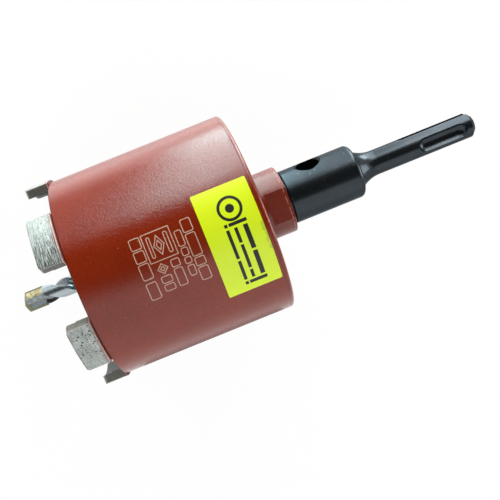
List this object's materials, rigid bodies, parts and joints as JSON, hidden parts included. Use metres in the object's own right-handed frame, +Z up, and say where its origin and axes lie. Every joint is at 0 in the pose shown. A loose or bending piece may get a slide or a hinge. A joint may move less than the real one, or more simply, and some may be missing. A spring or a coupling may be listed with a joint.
{
  "type": "diamond core bit",
  "caption": "Dry diamond core bit: a red barrel with brazed segments on its open rim, screwed on an SDS-plus adapter with a centring drill.",
  "frame": {"origin": "on the tool's axis, where the adapter's neck runs out into the straight SDS-plus shank", "axes": "+X along the tool's axis towards the shank's end, +Z up as the tool lies on its barrel with a gap between two segments underneath"},
  "size_m": [0.19, 0.082, 0.0801],
  "materials": {
    "red_paint": "semi-gloss rust-red paint with a fine orange-peel texture",
    "diamond_segment": "sintered metal, ground round the rim, with fine pits",
    "black_oxide": "glossy black-oxide steel",
    "drill_steel": "bright ground steel",
    "carbide": "ground carbide",
    "braze": "brass-coloured braze",
    "sticker": "fluorescent yellow-green film with plain black marks"
  },
  "bodies": {
    "root": {"barrel_tube": "red_paint", "end_plate": "red_paint", "hub": "red_paint", "hub_weld": "red_paint", "adapter": "black_oxide", "pilot_drill": "drill_steel", "carbide_tip": "carbide", "tip_braze": "braze", "sticker": "sticker", "segment_1": "diamond_segment", "segment_2": "diamond_segment", "segment_3": "diamond_segment", "segment_4": "diamond_segment", "segment_5": "diamond_segment", "segment_6": "diamond_segment"}
  },
  "joints": []
}
